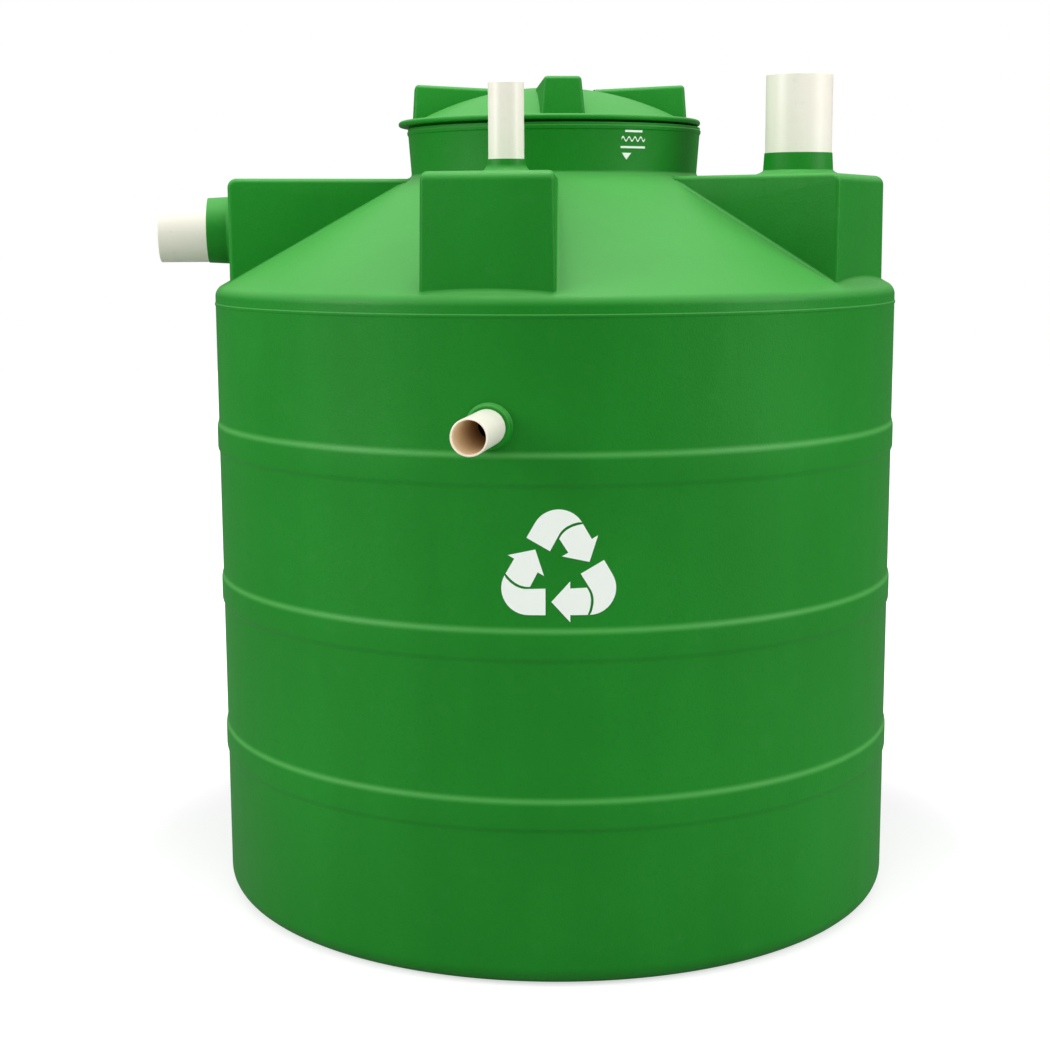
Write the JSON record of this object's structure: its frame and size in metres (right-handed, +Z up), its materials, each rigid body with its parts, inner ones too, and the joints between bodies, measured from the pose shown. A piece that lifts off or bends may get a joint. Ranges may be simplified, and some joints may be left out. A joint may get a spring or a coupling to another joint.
{
  "type": "biodigester tank",
  "caption": "Upright round sewage digester tank with banded wall, cone roof, pipe turrets, short pipe ends and a loose domed lid that lifts off.",
  "frame": {"origin": "centre of the floor's flat underside, on the wall's axis", "axes": "+Z up; -Y to the front, where the sludge pipe and the vent turret are; +X to the access pipe's side"},
  "size_m": [1.2991, 1.4207, 1.425],
  "materials": {
    "tank_green": "satin moulded polyethylene",
    "lid_green": "satin moulded polyethylene",
    "pipe_white": "smooth off-white PVC"
  },
  "bodies": {
    "tank": {"tank_floor": "tank_green", "floor_rim": "tank_green", "lower_wall": "tank_green", "middle_wall": "tank_green", "upper_wall": "tank_green", "sludge_panel": "tank_green", "parting_bead": "tank_green", "shoulder": "tank_green", "roof_crown": "tank_green", "roof_front_right": "tank_green", "roof_back_right": "tank_green", "roof_back_left": "tank_green", "roof_front_left": "tank_green", "neck": "tank_green", "neck_bead": "tank_green", "inlet_turret": "tank_green", "vent_turret": "tank_green", "access_turret": "tank_green", "outlet_turret": "tank_green", "inlet_collar": "tank_green", "vent_collar": "tank_green", "access_collar": "tank_green", "outlet_collar": "tank_green", "sludge_boss": "tank_green", "inlet_pipe": "pipe_white", "vent_pipe": "pipe_white", "access_pipe": "pipe_white", "outlet_pipe": "pipe_white", "sludge_pipe": "pipe_white"},
    "lid": {"lid_rim": "lid_green", "lid_skirt": "lid_green", "lid_dome": "lid_green", "lid_lug_front": "lid_green", "lid_lug_right": "lid_green", "lid_lug_back": "lid_green", "lid_lug_left": "lid_green"}
  },
  "joints": [
    {"name": "lid_lift", "type": "slide", "parent": "tank", "child": "lid", "axis": [0, 0, 1], "range_m": [0, 0.3]}
  ]
}
